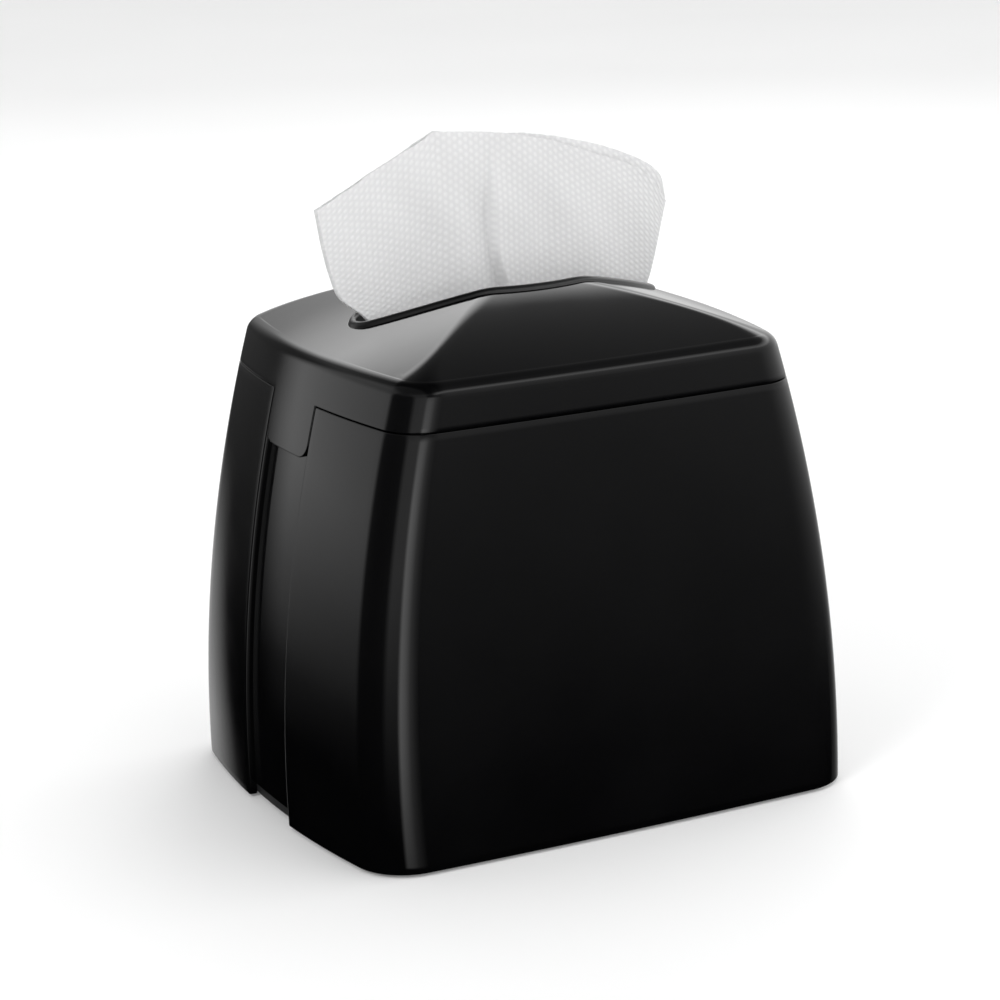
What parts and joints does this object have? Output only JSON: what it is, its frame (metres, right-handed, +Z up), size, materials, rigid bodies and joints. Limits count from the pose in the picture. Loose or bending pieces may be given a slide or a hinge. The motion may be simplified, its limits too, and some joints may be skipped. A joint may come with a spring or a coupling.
{
  "type": "napkin dispenser",
  "caption": "Table-top napkin dispenser: tapered glossy casing, lift-off domed lid with a long mouth, sprung lift plate under an interfolded stack.",
  "frame": {"origin": "on the table surface, under the middle of the casing", "axes": "+Z up, X along the wide faces, -Y towards the front"},
  "size_m": [0.2122, 0.1788, 0.2515],
  "materials": {
    "casing": "gloss black moulding",
    "lid": "gloss black moulding",
    "side_panel": "satin black moulding",
    "inner_moulding": "matt dark grey moulding",
    "bushes": "natural acetal",
    "cups": "matt dark grey moulding",
    "rods": "drawn",
    "springs": "drawn wire",
    "screws": "zinc plated",
    "feet": "matt",
    "napkins": "embossed white tissue"
  },
  "bodies": {
    "casing": {"front_shell": "casing", "rear_shell": "casing", "left_side_panel": "side_panel", "right_side_panel": "side_panel", "base_plate": "inner_moulding", "top_frame": "inner_moulding", "front_stack_guide": "inner_moulding", "rear_stack_guide": "inner_moulding", "shell_base_screws": "screws", "panel_base_screws": "screws", "rod_screws": "screws", "frame_screws": "screws", "guide_rod_front_left": "rods", "rubber_foot_front_left": "feet", "spring_cup_front_left": "cups", "lift_spring_front_left": "springs", "guide_rod_front_right": "rods", "rubber_foot_front_right": "feet", "spring_cup_front_right": "cups", "lift_spring_front_right": "springs", "guide_rod_rear_left": "rods", "rubber_foot_rear_left": "feet", "spring_cup_rear_left": "cups", "lift_spring_rear_left": "springs", "guide_rod_rear_right": "rods", "rubber_foot_rear_right": "feet", "spring_cup_rear_right": "cups", "lift_spring_rear_right": "springs"},
    "follower": {"lift_plate": "inner_moulding", "napkin_stack": "napkins", "guide_bush_front_left": "bushes", "guide_bush_front_right": "bushes", "guide_bush_rear_left": "bushes", "guide_bush_rear_right": "bushes"},
    "lid": {"lid_cover": "lid"},
    "napkin": {"standing_napkin": "napkins"}
  },
  "joints": [
    {"name": "lid_lift", "type": "slide", "parent": "casing", "child": "lid", "axis": [0, 0, 1], "range_m": [0, 0.08]},
    {"name": "plate_slide", "type": "slide", "parent": "casing", "child": "follower", "axis": [0, 0, 1], "range_m": [-0.045, 0], "stiffness_N_per_m": 600, "springref_m": 0.035, "deforming": ["lift_spring_front_left", "lift_spring_front_right", "lift_spring_rear_left", "lift_spring_rear_right"]},
    {"name": "napkin_pull", "type": "slide", "parent": "lid", "child": "napkin", "axis": [0, 0, 1], "range_m": [0, 0.05]}
  ]
}
